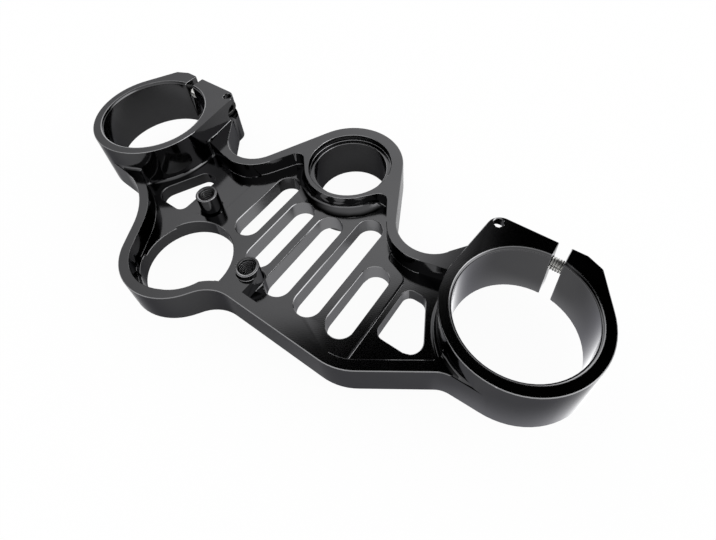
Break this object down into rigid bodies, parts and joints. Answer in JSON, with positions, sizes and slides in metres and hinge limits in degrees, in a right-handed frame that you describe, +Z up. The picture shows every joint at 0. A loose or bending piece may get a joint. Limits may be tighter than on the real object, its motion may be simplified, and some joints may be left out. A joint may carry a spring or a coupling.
{
  "type": "motorcycle triple clamp",
  "caption": "Machined upper triple clamp for a motorcycle fork: slotted clamp rings, stem boss, ribbed web with slots, ignition bore, threaded posts.",
  "frame": {"origin": "on the axis of the steering stem bore, in the plane of the clamp's underside", "axes": "+X from the left fork to the right fork as the rider sees it, +Y towards the rider, +Z up along the stem"},
  "size_m": [0.2754, 0.1357, 0.038],
  "materials": {
    "black_anodised": "satin black anodised, machined",
    "bolt_steel": "zinc plated"
  },
  "bodies": {
    "root": {"clamp_body": "black_anodised", "pinch_bolt_left": "bolt_steel", "pinch_bolt_right": "bolt_steel"}
  },
  "joints": []
}
